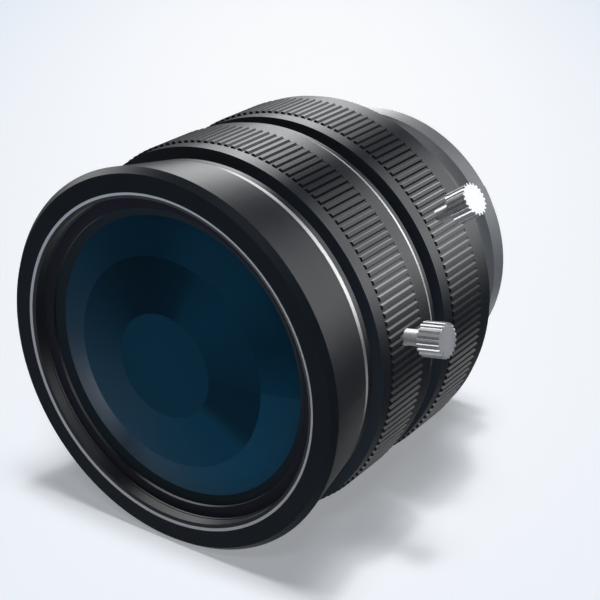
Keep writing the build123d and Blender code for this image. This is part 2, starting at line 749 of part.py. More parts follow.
# Focus ring: the same ribs, a stop groove in its rear face, and holes for its grub screws
grub_station = focus_ribs_rear + focus_rear_band_length / 2 - grub_offset
with BuildPart() as focus_ring:
    with BuildSketch(across(focus_ribs_front)):
        add(rib_profile())
    extrude(amount=-rib_length)
    revolve(
        turned(
            (focus_ring_bore, focus_ring_front),
            (band_radius, focus_ring_front),
            (band_radius, focus_ribs_rear),
            (band_radius + rear_band_step, focus_ribs_rear),
            (band_radius + rear_band_step, focus_ring_rear - rear_band_step),
            (band_radius, focus_ring_rear),
            (focus_ring_bore, focus_ring_rear),
        ),
        axis=Axis.Y,
    )
    # The pin stands at one end of the groove at rest and at the other end at full turn
    pin_angle = degrees((stop_pin_radius + pin_clearance) / stop_pin_circle)
    groove_margin = pin_angle + stop_margin_angle
    with BuildSketch(across(focus_ring_rear, stop_pin_angle - focus_turn_angle - groove_margin)):
        with BuildLine():
            groove_sweep = focus_turn_angle + 2 * groove_margin
            groove_half_width = stop_pin_radius + pin_clearance
            outer_arc = CenterArc((0, 0), stop_pin_circle + groove_half_width, 0, groove_sweep)
            inner_arc = CenterArc((0, 0), stop_pin_circle - groove_half_width, 0, groove_sweep)
            Line(outer_arc @ 0, inner_arc @ 0)
            Line(outer_arc @ 1, inner_arc @ 1)
        make_face()
    extrude(amount=stop_groove_depth, mode=Mode.SUBTRACT)
    with BuildSketch(outward(focus_lock_station, focus_lock_angle, focus_ring_bore - 1.0)):
        Circle(lock_hole_radius)
    extrude(amount=rib_top_radius - focus_ring_bore + 2.0, mode=Mode.SUBTRACT)
    for grub_angle in grub_angles:
        with BuildSketch(outward(grub_station, grub_angle, focus_ring_bore - 1.0)):
            Circle(grub_radius + thread_clearance)
        extrude(amount=band_radius - focus_ring_bore + 2.0, mode=Mode.SUBTRACT)
save(focus_ring.part, "focus_ring")

# Focus helicoid: the brass nut under the focus ring, whose neck runs in the rear housing's web
with BuildPart() as focus_helicoid:
    revolve(
        turned(
            (helicoid_bore, helicoid_front),
            (helicoid_outer, helicoid_front),
            (helicoid_outer, focus_ring_rear),
            (helicoid_neck, focus_ring_rear),
            (helicoid_neck, helicoid_rear),
            (helicoid_bore, helicoid_rear),
        ),
        axis=Axis.Y,
    )
    with BuildSketch(outward(focus_lock_station, focus_lock_angle, helicoid_bore - 1.0)):
        Circle(lock_hole_radius)
    extrude(amount=helicoid_wall + 2.0, mode=Mode.SUBTRACT)
    for grub_angle in grub_angles:
        with BuildSketch(outward(grub_station, grub_angle, grub_inner_radius - pin_clearance)):
            Circle(grub_radius + thread_clearance)
        extrude(amount=helicoid_outer - grub_inner_radius + 1.0, mode=Mode.SUBTRACT)
save(focus_helicoid.part, "focus_helicoid")

# Grub screws: lock the focus ring to the helicoid
with BuildPart() as focus_grub_screws:
    for grub_angle in grub_angles:
        with BuildSketch(outward(grub_station, grub_angle, grub_inner_radius)):
            Circle(grub_radius)
        extrude(amount=band_radius - grub_sink - grub_inner_radius)
        with BuildSketch(outward(grub_station, grub_angle, band_radius - grub_sink)):
            RegularPolygon(screw_socket_radius, 6)
        extrude(amount=-screw_socket_depth, mode=Mode.SUBTRACT)
save(focus_grub_screws.part, "focus_grub_screws")

# Focus retainer: screws onto the helicoid's neck and runs behind the rear housing's web
with BuildPart() as focus_retainer:
    revolve(
        turned(
            (helicoid_neck + thread_clearance, focus_retainer_front),
            (helicoid_neck + retainer_wall, focus_retainer_front),
            (helicoid_neck + retainer_wall, focus_retainer_rear),
            (helicoid_neck + thread_clearance, focus_retainer_rear),
        ),
        axis=Axis.Y,
    )
save(focus_retainer.part, "focus_retainer")

# Rear housing: web, seats of the retainer and the guide sleeve, and the neck that flares to the flange
counterbore_radius = helicoid_neck + retainer_wall + slide_clearance
housing_bore = rear_cell_radius + housing_bore_gap
guide_screw_angles = even_angles(guide_screw_count, first=30.0)
mount_screw_angles = even_angles(mount_screw_count, first=45.0)


def housing_section():
    """Half section of the rear housing, whose taper runs on in an arc to the flange's edge."""
    land_rear = housing_front + housing_land_length
    with BuildSketch(Plane.XY) as section:
        with BuildLine():
            taper = Polyline(
                (helicoid_neck + running_clearance, at(housing_front)),
                (housing_front_radius, at(housing_front)),
                (housing_front_radius, at(land_rear)),
                (housing_taper_radius, at(land_rear + housing_taper_length)),
            )
            neck = TangentArc(taper @ 1, (flange_radius, at(housing_rear)), tangent=taper % 1)
            Polyline(
                neck @ 1,
                (housing_bore, at(housing_rear)),
                (housing_bore, at(guide_flange_rear)),
                (guide_flange_radius + seat_gap, at(guide_flange_rear)),
                (guide_flange_radius + seat_gap, at(guide_flange_front)),
                (counterbore_radius, at(guide_flange_front)),
                (counterbore_radius, at(web_rear)),
                (helicoid_neck + running_clearance, at(web_rear)),
                taper @ 0,
            )
        make_face()
    return section.sketch


with BuildPart() as rear_housing:
    revolve(housing_section(), axis=Axis.Y)
    with BuildSketch(across(housing_front, stop_pin_angle)):
        with Locations((stop_pin_circle, 0)):
            Circle(stop_pin_radius + pin_clearance / 2)
    extrude(amount=-(stop_pin_length - stop_groove_depth + 2 * pin_clearance), mode=Mode.SUBTRACT)
    with BuildSketch(across(guide_flange_rear)):
        with PolarLocations(guide_screw_circle, guide_screw_count, guide_screw_angles[0]):
            Circle(guide_screw_shank_radius + pin_clearance)
    extrude(amount=-(guide_screw_length - guide_flange_length + guide_screw_hole_room), mode=Mode.SUBTRACT)
    with BuildSketch(across(housing_rear)):
        with PolarLocations(mount_screw_circle, mount_screw_count, mount_screw_angles[0]):
            Circle(mount_screw_shank_radius + pin_clearance)
    extrude(amount=mount_screw_length - flange_length + mount_screw_sink + 0.2, mode=Mode.SUBTRACT)
save(rear_housing.part, "rear_housing")

# Focus stop pin: stands out of the web into the focus ring's groove
with BuildPart() as focus_stop_pin:
    pin_front = housing_front - ring_end_gap - stop_groove_depth + 2 * pin_clearance
    with BuildSketch(across(pin_front, stop_pin_angle)):
        with Locations((stop_pin_circle, 0)):
            Circle(stop_pin_radius)
    extrude(amount=-stop_pin_length)
save(focus_stop_pin.part, "focus_stop_pin")

# Guide sleeve: a flanged tube with straight slots, which keeps the main barrel from turning
slot_front = guide_pin_station - focus_travel
with BuildPart() as guide_sleeve:
    revolve(
        turned(
            (guide_sleeve_inner, guide_sleeve_front_station),
            (guide_sleeve_outer, guide_sleeve_front_station),
            (guide_sleeve_outer, guide_flange_front),
            (guide_flange_radius, guide_flange_front),
            (guide_flange_radius, guide_flange_rear),
            (guide_sleeve_inner, guide_flange_rear),
        ),
        axis=Axis.Y,
    )
    for guide_angle in guide_angles:
        with BuildSketch(outward(guide_pin_station - focus_travel / 2, guide_angle, guide_sleeve_inner - 1)):
            slot_length = focus_travel + 2 * (guide_pin_radius + pin_clearance)
            SlotOverall(slot_length + 2 * pin_clearance, 2 * (guide_pin_radius + pin_clearance))
        extrude(amount=guide_sleeve_outer - guide_sleeve_inner + 2, mode=Mode.SUBTRACT)
    with BuildSketch(across(guide_flange_front)):
        with PolarLocations(guide_screw_circle, guide_screw_count, guide_screw_angles[0]):
            Circle(guide_screw_head_radius + pin_clearance)
    extrude(amount=-guide_screw_head_length - pin_clearance, mode=Mode.SUBTRACT)
    with BuildSketch(across(guide_flange_front)):
        with PolarLocations(guide_screw_circle, guide_screw_count, guide_screw_angles[0]):
            Circle(guide_screw_shank_radius + pin_clearance)
    extrude(amount=-guide_flange_length, mode=Mode.SUBTRACT)
save(guide_sleeve.part, "guide_sleeve")

# Guide screws: hold the guide sleeve's flange on the rear housing
with BuildPart() as guide_screws:
    with BuildSketch(across(guide_flange_front + pin_clearance)):
        with PolarLocations(guide_screw_circle, guide_screw_count, guide_screw_angles[0]):
            Circle(guide_screw_head_radius)
    extrude(amount=-guide_screw_head_length + pin_clearance)
    with BuildSketch(across(guide_flange_front + pin_clearance)):
        with PolarLocations(guide_screw_circle, guide_screw_count, guide_screw_angles[0]):
            Circle(guide_screw_shank_radius)
    extrude(amount=-guide_screw_length)
save(guide_screws.part, "guide_screws")

# Mount flange: the collar, the seat that meets the camera and the male camera thread
with BuildPart() as mount_flange:
    revolve(
        turned(
            (flange_bore, housing_rear),
            (flange_radius, housing_rear),
            (flange_rear_radius, seat_station),
            (mount_thread_radius, seat_station),
            (mount_thread_radius, seat_station + mount_thread_length - mount_thread_bevel),
            (mount_thread_radius - mount_thread_bevel, seat_station + mount_thread_length),
            (flange_bore, seat_station + mount_thread_length),
        ),
        axis=Axis.Y,
    )
    with BuildSketch(across(seat_station)):
        with PolarLocations(mount_screw_circle, mount_screw_count, mount_screw_angles[0]):
            Circle(mount_screw_shank_radius + pin_clearance)
    extrude(amount=flange_length, mode=Mode.SUBTRACT)
    with BuildSketch(across(seat_station)):
        with PolarLocations(mount_screw_circle, mount_screw_count, mount_screw_angles[0]):
            Circle(mount_screw_head_radius + pin_clearance)
    extrude(amount=mount_screw_head_length + mount_screw_sink, mode=Mode.SUBTRACT)
save(mount_flange.part, "mount_flange")

# Mount screws: hold the mount flange on the rear housing, heads sunk below the seat
with BuildPart() as mount_screws:
    with BuildSketch(across(seat_station - mount_screw_sink)):
        with PolarLocations(mount_screw_circle, mount_screw_count, mount_screw_angles[0]):
            Circle(mount_screw_head_radius)
    extrude(amount=mount_screw_head_length - pin_clearance)
    with BuildSketch(across(seat_station - mount_screw_sink)):
        with PolarLocations(mount_screw_circle, mount_screw_count, mount_screw_angles[0]):
            Circle(mount_screw_shank_radius)
    extrude(amount=mount_screw_length)
    with BuildSketch(across(seat_station - mount_screw_sink)):
        with PolarLocations(mount_screw_circle, mount_screw_count, mount_screw_angles[0]):
            RegularPolygon(screw_socket_radius, 6)
    extrude(amount=screw_socket_depth, mode=Mode.SUBTRACT)
save(mount_screws.part, "mount_screws")


def spline_profile():
    """Outline of a thumbscrew head: a round root with even splines round it."""
    with BuildSketch() as outline:
        Circle(lock_head_root_radius)
        spline_width = 2 * pi * lock_head_radius / lock_spline_count * lock_spline_share
        with PolarLocations(lock_head_root_radius, lock_spline_count):
            Rectangle(2 * (lock_head_radius - lock_head_root_radius), spline_width)
    return outline.sketch


# Thumbscrews and their pads: each screw clamps its ring through a soft pad in the same hole
thumbscrews = {
    "iris_lock": (iris_lock_station, iris_lock_angle, iris_bearing_radius + lock_pad_gap),
    "focus_lock": (focus_lock_station, focus_lock_angle, helicoid_radius + lock_pad_gap),
}
for lock_name, (station, angle, pad_foot) in thumbscrews.items():
    stem_foot = pad_foot + lock_pad_length
    head_foot = rib_top_radius + lock_stem_height
    with BuildPart() as lock_pad:
        with BuildSketch(outward(station, angle, pad_foot)):
            Circle(lock_pad_radius)
        extrude(amount=lock_pad_length)
    save(lock_pad.part, f"{lock_name}_pad")
    with BuildPart() as lock_screw:
        with BuildSketch(outward(station, angle, stem_foot)):
            Circle(lock_stem_radius)
        extrude(amount=head_foot - stem_foot + lock_head_length / 2)
        with BuildSketch(outward(station, angle, head_foot)):
            add(spline_profile())
        extrude(amount=lock_head_length)
    save(lock_screw.part, f"{lock_name}_screw")
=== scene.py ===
"""Line scan lens, dressed: materials, glass zones, threads, floor, light and the photograph's camera."""

import json
import math

import bmesh
import bpy
from mathutils import Euler, Matrix, Vector


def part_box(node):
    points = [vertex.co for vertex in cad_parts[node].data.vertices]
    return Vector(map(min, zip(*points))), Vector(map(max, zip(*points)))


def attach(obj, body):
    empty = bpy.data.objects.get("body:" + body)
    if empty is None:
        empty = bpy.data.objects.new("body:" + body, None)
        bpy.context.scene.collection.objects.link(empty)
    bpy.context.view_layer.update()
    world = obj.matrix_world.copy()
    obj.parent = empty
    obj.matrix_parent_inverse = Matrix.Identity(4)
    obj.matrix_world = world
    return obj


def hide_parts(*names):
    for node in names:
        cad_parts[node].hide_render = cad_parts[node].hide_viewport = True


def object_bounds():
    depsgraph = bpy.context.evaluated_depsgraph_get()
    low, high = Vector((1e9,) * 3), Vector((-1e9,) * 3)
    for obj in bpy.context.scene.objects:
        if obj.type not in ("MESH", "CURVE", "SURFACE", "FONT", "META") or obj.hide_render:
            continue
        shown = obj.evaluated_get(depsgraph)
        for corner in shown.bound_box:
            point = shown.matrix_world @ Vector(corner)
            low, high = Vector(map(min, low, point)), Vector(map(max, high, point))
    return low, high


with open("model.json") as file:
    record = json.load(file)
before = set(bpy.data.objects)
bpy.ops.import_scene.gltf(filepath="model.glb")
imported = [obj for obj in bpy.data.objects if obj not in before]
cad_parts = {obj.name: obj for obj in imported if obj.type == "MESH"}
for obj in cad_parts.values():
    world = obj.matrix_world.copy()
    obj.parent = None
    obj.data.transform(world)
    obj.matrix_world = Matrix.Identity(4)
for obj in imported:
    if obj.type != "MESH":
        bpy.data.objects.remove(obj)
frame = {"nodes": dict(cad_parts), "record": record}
cad_box = [list(corner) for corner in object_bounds()]
nodes = frame["nodes"]
record = frame["record"]

# Sizes are in millimetres where no comment says metres. A station is a distance behind the front face,
# along the optical axis
MM = 0.001


def millimetres(metres):
    """To the nearest micrometre."""
    return round(metres / MM, 3)


seat_station = millimetres(-cad_box[0][1])


def at(station):
    """Y in metres of a station."""
    return (station - seat_station) * MM


def outer_radius(node):
    return millimetres(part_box(node)[1].x)


def front_station(node):
    return seat_station + millimetres(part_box(node)[0].y)


def rear_station(node):
    return seat_station + millimetres(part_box(node)[1].y)


thread_radius = {mount["name"]: mount["dims"]["r_mm"] for mount in record["mounts"] if mount["dims"]}

# A zone reaches this far past an edge, so that the edge lies in it
MARGIN = 0.01

# Mouth: the step from the filter thread out to the rim, its bevel, and the light line on the bevel, a bare
# machined edge that is also painted light grey to stand in for its highlight
FILTER_THREAD_STEP = 0.9
MOUTH_BEVEL_LENGTH = 0.35
MOUTH_HIGHLIGHT_RADIUS = 26.10
mouth_radius = thread_radius["filter_thread"] + FILTER_THREAD_STEP

# Front glass: radii of the two visible circles and of the outer zone's edge
INNER_CIRCLE = 8.23
OUTER_CIRCLE = 16.64
OUTER_ZONE_EDGE = 22.25

# Front retaining ring: the raised face's inner edge, its height, and the thickness of the wall there
LIP_RADIUS = 23.60
LIP_HEIGHT = 0.36
LIP_THICKNESS = 0.08

CAMERA_THREAD_PITCH = 1.0


# Node helpers

def new_tree(name):
    material = bpy.data.materials.new(name)
    material.use_nodes = True
    tree = material.node_tree
    tree.nodes.clear()
    return material, tree


def put(tree, kind, inputs=None, **attributes):
    """Adds a node, sets its attributes, and its inputs by name or index from values or sockets."""
    node = tree.nodes.new(kind)
    for key, value in attributes.items():
        setattr(node, key, value)
    for key, value in (inputs or {}).items():
        socket = node.inputs[key]
        if isinstance(value, bpy.types.NodeSocket):
            tree.links.new(value, socket)
        else:
            socket.default_value = value
    return node


def calculate(tree, operation, first, second=None):
    inputs = {0: first}
    if second is not None:
        inputs[1] = second
    return put(tree, "ShaderNodeMath", inputs, operation=operation).outputs[0]


def multiply(tree, first, second):
    return calculate(tree, "MULTIPLY", first, second)


def add(tree, first, second):
    return calculate(tree, "ADD", first, second)


def dot(tree, vector, axis):
    return put(tree, "ShaderNodeVectorMath", {0: vector, 1: axis}, operation="DOT_PRODUCT").outputs["Value"]


def between(tree, value, low, high):
    """1 where the value lies between the two limits, and 0 elsewhere."""
    above = calculate(tree, "GREATER_THAN", value, low)
    below = calculate(tree, "LESS_THAN", value, high)
    return multiply(tree, above, below)


def span(tree, value, low, high, to_low, to_high):
    return put(tree, "ShaderNodeMapRange", {
        "Value": value, "From Min": low, "From Max": high, "To Min": to_low, "To Max": to_high}).outputs[0]


def vary(tree, pattern, middle, swing, low=0.3, high=0.7):
    """Turns a noise pattern, from low to high, into a value that swings about its middle."""
    return span(tree, pattern, low, high, middle - swing, middle + swing)


def grey(tree, value):
    return put(tree, "ShaderNodeCombineColor", {0: value, 1: value, 2: value}).outputs[0]


def as_color(value):
    return value if isinstance(value, bpy.types.NodeSocket) else (*value, 1)


def mix(tree, factor, first, second, blend="MIX"):
    """Mixes two colours, each a socket or three channels."""
    inputs = {0: factor, 6: as_color(first), 7: as_color(second)}
    return put(tree, "ShaderNodeMix", inputs, data_type="RGBA", blend_type=blend).outputs[2]


def ramp(tree, factor, stops):
    node = put(tree, "ShaderNodeValToRGB", {"Fac": factor})
    elements = node.color_ramp.elements
    while len(elements) < len(stops):
        elements.new(0.5)
    for element, (position, color) in zip(elements, stops):
        element.position = position
        element.color = (*color, 1)
    return node.outputs["Color"]


def noise(tree, point, scale, detail, roughness=0.5, dimensions="3D"):
    """Noise pattern, whose scale is in features per metre."""
    return put(tree, "ShaderNodeTexNoise", {
        "Vector": point, "Scale": scale, "Detail": detail, "Roughness": roughness},
        noise_dimensions=dimensions).outputs["Fac"]


def bump(tree, height, strength, distance, normal=None):
    inputs = {"Strength": strength, "Distance": distance * MM, "Height": height}
    if normal is not None:
        inputs["Normal"] = normal
    return put(tree, "ShaderNodeBump", inputs).outputs[0]


def object_point(tree):
    return put(tree, "ShaderNodeTexCoord").outputs["Object"]


def lathe_space(tree):
    """Object point, its distance from the optical axis, its place along it, and its turn round it."""
    point = object_point(tree)
    x, y, z = put(tree, "ShaderNodeSeparateXYZ", {0: point}).outputs
    radius = calculate(tree, "SQRT", add(tree, multiply(tree, x, x), multiply(tree, z, z)))
    turn = calculate(tree, "DIVIDE", calculate(tree, "ARCTAN2", z, x), 2 * math.pi)
    return point, radius, y, turn


def surface(material, tree, inputs):
    shader = put(tree, "ShaderNodeBsdfPrincipled", inputs)
    put(tree, "ShaderNodeOutputMaterial", {0: shader.outputs[0]})
    return material


# Materials

def lathe_marks(tree, radius, y):
    section = put(tree, "ShaderNodeCombineXYZ", {0: radius, 1: y, 2: 0.0}).outputs[0]
    return noise(tree, section, scale=9000.0, detail=3.0, dimensions="2D")


def painted_zone(tree, radius, y, color, inner, outer, front, rear, zone_color, fade=0.01):
    """Gives a stretch of a turned piece another colour, which fades in from its front; the retainer's wall
    gets a colour of its own, and the mouth, ring face and neck zones get painted light.
    """
    across = between(tree, radius, inner * MM, outer * MM)
    behind_front = span(tree, y, at(front), at(front + fade), 0.0, 1.0)
    before_rear = calculate(tree, "LESS_THAN", y, at(rear))
    inside = multiply(tree, across, multiply(tree, behind_front, before_rear))
    return mix(tree, inside, color, zone_color)


def thread_marks(tree, radius, y, turn, normal, inner, outer, front, rear, pitch):
    turns = add(tree, calculate(tree, "DIVIDE", y, pitch * MM), turn)
    wave = calculate(tree, "PINGPONG", turns, 0.5)
    along = between(tree, y, at(front), at(rear))
    across = between(tree, radius, inner * MM, outer * MM)
    ridges = multiply(tree, wave, multiply(tree, along, across))
    return bump(tree, ridges, strength=1.0, distance=pitch, normal=normal)


def metal_black(name, base, roughness, specular, lathe=1.0, thread=None, zones=()):
    """Black anodised aluminium: lathe marks round the axis, a fine etched grain and faint clouding."""
    material, tree = new_tree(name)
    point, radius, y, turn = lathe_space(tree)
    marks = lathe_marks(tree, radius, y)
    etch = noise(tree, point, scale=9000.0, detail=2.0)
    cloud = noise(tree, point, scale=90.0, detail=4.0, roughness=0.6)
    cloud_shade = vary(tree, cloud, middle=1.0, swing=0.1)
    etch_shade = vary(tree, etch, middle=0.0, swing=0.06)
    color = mix(tree, 1.0, base, grey(tree, add(tree, cloud_shade, etch_shade)), "MULTIPLY")
    for zone in zones:
        color = painted_zone(tree, radius, y, color, **zone)
    marks_gloss = vary(tree, marks, middle=roughness, swing=0.035, low=0.25, high=0.75)
    cloud_gloss = vary(tree, cloud, middle=0.0, swing=0.02)
    marks_height = multiply(tree, marks, 0.6 * lathe)
    etch_height = multiply(tree, etch, 0.4)
    normal = bump(tree, add(tree, marks_height, etch_height), strength=0.12, distance=0.04)
    if thread is not None:
        normal = thread_marks(tree, radius, y, turn, normal, **thread)
    return surface(material, tree, {
        "Base Color": color, "Roughness": add(tree, marks_gloss, cloud_gloss),
        "Specular IOR Level": specular, "Normal": normal})


def metal_bright(name, color, roughness, metallic=1.0):
    """Bare or plated metal with turning marks and faint stains."""
    material, tree = new_tree(name)
    point = object_point(tree)
    fine = noise(tree, point, scale=6000.0, detail=3.0)
    stain = noise(tree, point, scale=300.0, detail=4.0)
    stained = tuple(0.88 * channel for channel in color)
    fine_gloss = vary(tree, fine, middle=roughness, swing=0.04)
    stain_gloss = vary(tree, stain, middle=0.0, swing=0.03)
    return surface(material, tree, {
        "Base Color": ramp(tree, stain, [(0.35, stained), (0.65, color)]), "Metallic": metallic,
        "Roughness": add(tree, fine_gloss, stain_gloss),
        "Normal": bump(tree, fine, strength=0.1, distance=0.03)})


# Front glass: by degrees round the axis, from +X towards +Z, the painted reflection tones of the two outer
# zones, light and dark sectors standing in for the room mirrored in the glass, and the strength of the
# coating
OUTER_ZONE_PAINTED_REFLECTIONS = [
    (0, 1.20), (24, 0.75), (48, 1.20), (76, 1.24), (94, 0.82), (124, 0.86), (146, 1.18), (225, 1.10),
    (240, 0.72), (252, 1.18), (312, 1.66), (345, 1.52)]
MIDDLE_ZONE_PAINTED_REFLECTIONS = [
    (0, 0.70), (48, 1.04), (69, 0.96), (76, 0.58), (100, 0.40), (124, 0.42), (192, 1.06), (280, 1.32),
    (320, 1.32), (332, 0.60), (348, 0.60)]
COATING = 0.375
OUTER_ZONE_COATING = [
    (0, 0.5), (16, COATING), (228, COATING), (240, 0.17), (247, 0.26), (256, 0.42), (276, 0.39),
    (295, 0.34), (318, 0.42), (338, 0.85)]


def glass_front(name):
    """Dark body of the front glass under its blue-green coating; its two outer zones have painted
    reflections, light and dark sectors standing in for the room mirrored in the glass, and the inner zone
    is nearly even, a little lighter at its middle."""
    material, tree = new_tree(name)
    point, radius, y, turn = lathe_space(tree)
    cloud = noise(tree, point, scale=45.0, detail=2.0)
    whole_turn = calculate(tree, "FRACT", add(tree, turn, 1.0))
    uneven_turn = add(tree, whole_turn, vary(tree, cloud, middle=0.0, swing=0.006))

    def round_ramp(stops):
        return ramp(tree, uneven_turn, [(degrees / 360, (tone, tone, tone)) for degrees, tone in stops])

    in_outer_zone = calculate(tree, "GREATER_THAN", radius, OUTER_CIRCLE * MM)
    in_inner_zone = calculate(tree, "LESS_THAN", radius, INNER_CIRCLE * MM)
    inner_tone = grey(tree, span(tree, radius, 0.0, INNER_CIRCLE * MM, 1.16, 1.081))
    # Painted reflections: the sector tones lighten and darken the coating's colour round the axis
    tone = mix(tree, in_outer_zone, round_ramp(MIDDLE_ZONE_PAINTED_REFLECTIONS), round_ramp(OUTER_ZONE_PAINTED_REFLECTIONS))
    tone = mix(tree, in_inner_zone, tone, inner_tone)
    teal = ramp(tree, cloud, [(0.3, (0.0020, 0.0345, 0.0670)), (0.7, (0.0024, 0.0365, 0.0710))])
    coating = mix(tree, in_outer_zone, (COATING, COATING, COATING), round_ramp(OUTER_ZONE_COATING))
    return surface(material, tree, {
        "Base Color": mix(tree, 1.0, tone, teal, "MULTIPLY"), "Roughness": 0.10,
        "Specular IOR Level": coating, "Specular Tint": (0.73, 0.84, 1.0, 1)})


def glass_clear(name):
    """Inner elements: clear glass with a faint coating."""
    material, tree = new_tree(name)
    cloud = noise(tree, object_point(tree), scale=60.0, detail=2.0)
    color = ramp(tree, cloud, [(0.3, (0.80, 0.93, 0.96)), (0.7, (0.86, 0.96, 0.99))])
    return surface(material, tree, {
        "Base Color": color, "Roughness": 0.02, "IOR": 1.52, "Transmission Weight": 1.0,
        "Specular Tint": (0.55, 0.8, 1.0, 1)})


def nylon(name):
    material, tree = new_tree(name)
    cloud = noise(tree, object_point(tree), scale=900.0, detail=3.0)
    color = ramp(tree, cloud, [(0.3, (0.66, 0.64, 0.58)), (0.7, (0.74, 0.73, 0.68))])
    return surface(material, tree, {
        "Base Color": color, "Roughness": 0.45, "Subsurface Weight": 0.1, "Subsurface Scale": 0.5 * MM})


def mouth_painted_light_zone(inner, outer, zone_color):
    return {"inner": inner, "outer": outer, "front": -0.1, "rear": MOUTH_BEVEL_LENGTH + MARGIN,
            "zone_color": zone_color}


def ring_face_painted_light_zone(ring):
    """Painted light: a ring's front face, shaded in the groove before it, is painted lighter than its
    ribs to make up for the shade.
    """
    front = front_station(ring)
    return {"inner": 26.0, "outer": outer_radius(ring) - 0.22, "front": front - 0.05, "rear": front + 0.04,
            "zone_color": (0.032, 0.043, 0.060)}


housing_rear = rear_station("rear_housing")
# Painted light: the neck before the flange fades from black to a lit grey, standing in for the light from
# behind the lens
neck_painted_light_zone = {
    "inner": 20.0, "outer": outer_radius("mount_flange") + 0.2, "front": housing_rear - 3.25,
    "rear": housing_rear + MARGIN, "zone_color": (0.165, 0.173, 0.185), "fade": 1.8}
retainer_wall_zone = {
    "inner": 0.0, "outer": LIP_RADIUS, "front": 0.0, "rear": 9.0, "zone_color": (0.0185, 0.0275, 0.0345)}
camera_thread = {
    "inner": thread_radius["camera_thread"] - 0.1, "outer": thread_radius["camera_thread"] + 0.1,
    "front": seat_station + 0.15, "rear": seat_station + 4.4, "pitch": CAMERA_THREAD_PITCH}

BLACK = (0.0105, 0.0150, 0.0215)
SATIN = 0.22
materials = {
    "barrel_black": metal_black("barrel_black", BLACK, SATIN, 0.5, thread=camera_thread, zones=[
        # Painted light on the mouth bevel: the inner part is painted lighter than black for the light on
        # the bore wall, the outer part light grey as the edge's painted highlight
        mouth_painted_light_zone(thread_radius["filter_thread"] - 0.1, MOUTH_HIGHLIGHT_RADIUS, (0.036, 0.038, 0.042)),
        mouth_painted_light_zone(MOUTH_HIGHLIGHT_RADIUS, mouth_radius + MARGIN, (0.50, 0.51, 0.54)),
        neck_painted_light_zone]),
    "ring_black": metal_black("ring_black", BLACK, SATIN, 0.5, lathe=0.5, zones=[
        ring_face_painted_light_zone("iris_ring"), ring_face_painted_light_zone("focus_ring")]),
    "inner_black": metal_black("inner_black", (0.006, 0.008, 0.011), 0.5, 0.4),
    "retainer_black": metal_black(
        "retainer_black", (0.0250, 0.0240, 0.0365), 0.3, 0.02, zones=[retainer_wall_zone]),
    "coated_glass": glass_clear("coated_glass"),
    "blade_steel": metal_black("blade_steel", (0.020, 0.020, 0.022), 0.45, 0.6),
    "pin_steel": metal_bright("pin_steel", (0.60, 0.60, 0.61), 0.25),
    "screw_black": metal_black("screw_black", (0.018, 0.018, 0.020), 0.4, 0.6),
    "helicoid_brass": metal_bright("helicoid_brass", (0.72, 0.52, 0.24), 0.3),
    "thumbscrew_steel": metal_bright("thumbscrew_steel", (0.79, 0.80, 0.82), 0.30, metallic=0.6),
    "pad_nylon": nylon("pad_nylon"),
}
material_of = {part["node"]: materials[part["material_slot"]] for part in record["subparts"]}
# Painted light: the flange is painted grey to stand in for the light from behind the lens that falls on it
material_of["mount_flange"] = metal_black("flange_painted_light", (0.235, 0.245, 0.255), SATIN, 0.5)
for name, node in nodes.items():
    node.data.materials.clear()
    node.data.materials.append(material_of[name])
    node.visible_glossy = False


# Pieces

def new_object(name, shape):
    mesh = bpy.data.meshes.new(name)
    shape.to_mesh(mesh)
    shape.free()
    piece = bpy.data.objects.new(name, mesh)
    bpy.context.scene.collection.objects.link(piece)
    return piece


def round_point(shape, radius, turn, station):
    return shape.verts.new((radius * MM * math.cos(turn), at(station), radius * MM * math.sin(turn)))


def turned_mesh(name, profile, segments=256, sharp_degrees=8):
    """Closed solid of revolution round the optical axis through (radius, station) points."""
    shape = bmesh.new()
    turns = [2 * math.pi * step / segments for step in range(segments)]
    rings = []
    for radius, station in profile:
        ring_turns = turns if radius > 0 else [0.0]
        rings.append([round_point(shape, radius, turn, station) for turn in ring_turns])
    pairs = list(zip(rings, rings[1:]))
    if profile[0][0] > 0:
        pairs.append((rings[-1], rings[0]))
    for one, two in pairs:
        for step in range(segments):
            ahead = (step + 1) % segments
            if len(one) == 1:
                shape.faces.new((one[0], two[ahead], two[step]))
            elif len(two) == 1:
                shape.faces.new((one[step], one[ahead], two[0]))
            else:
                shape.faces.new((one[step], one[ahead], two[ahead], two[step]))
    bmesh.ops.recalc_face_normals(shape, faces=shape.faces)
    for face in shape.faces:
        face.smooth = True
    for edge in shape.edges:
        edge.smooth = edge.calc_face_angle(0.0) <= math.radians(sharp_degrees)
    return new_object(name, shape)


def thread_mesh(name, root, crest, first, last, pitch, segments=144, fade_steps=18):
    """Helical ridge with a narrow crest, wound round the optical axis between two stations, which
    rises from nothing at one end and falls to nothing at the other."""
    root_half = 0.46 * pitch
    crest_half = 0.06 * pitch
    shape = bmesh.new()
    steps = int((last - first) / pitch * segments)
    previous = None
    for step in range(steps + 1):
        turn = 2 * math.pi * step / segments
        middle = first + pitch * step / segments
        top = root + (crest - root) * min(1.0, step / fade_steps, (steps - step) / fade_steps)
        corners = ((root, -root_half), (top, -crest_half), (top, crest_half), (root, root_half))
        section = [round_point(shape, radius, turn, middle + offset) for radius, offset in corners]
        if previous:
            for index in range(4):
                after = (index + 1) % 4
                shape.faces.new((previous[index], previous[after], section[after], section[index]))
        else:
            shape.faces.new(section)
        previous = section
    shape.faces.new(list(reversed(previous)))
    bmesh.ops.recalc_face_normals(shape, faces=shape.faces)
    return new_object(name, shape)


def dress(piece, slot, body, material=None):
    """Gives a piece its slot's material, or its own material in place of the slot's, and sets it on its
    body.
    """
    piece.data.materials.append(material or materials[slot])
    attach(piece, body)
    piece.visible_glossy = False


